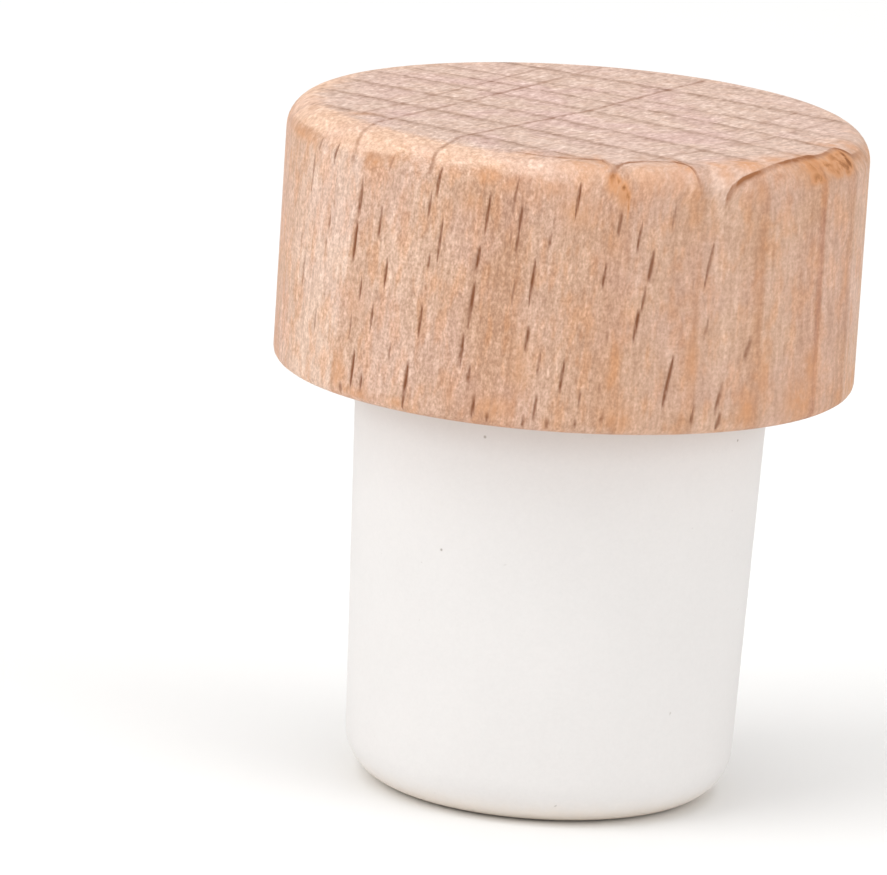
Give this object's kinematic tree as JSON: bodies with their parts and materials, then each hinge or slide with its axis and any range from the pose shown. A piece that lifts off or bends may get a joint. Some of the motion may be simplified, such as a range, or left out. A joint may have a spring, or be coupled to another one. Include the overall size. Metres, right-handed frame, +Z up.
{
  "type": "cork stopper",
  "caption": "T-shaped bottle stopper: a turned wooden cap with rounded rims on a slightly tapered, off-white moulded plug with a rounded end.",
  "frame": {"origin": "centre of the plug's flat end, on which the stopper stands", "axes": "+Z up along the turned axis, from the plug's end to the cap; the stopper is round, so X and Y are free"},
  "size_m": [0.0276, 0.0276, 0.0327],
  "materials": {
    "beech": "sanded bare beech, end grain on the top, with fine dark flecks on its side",
    "synthetic_cork": "matte off-white moulded elastomer"
  },
  "bodies": {
    "root": {"wooden_cap": "beech", "plug": "synthetic_cork"}
  },
  "joints": []
}
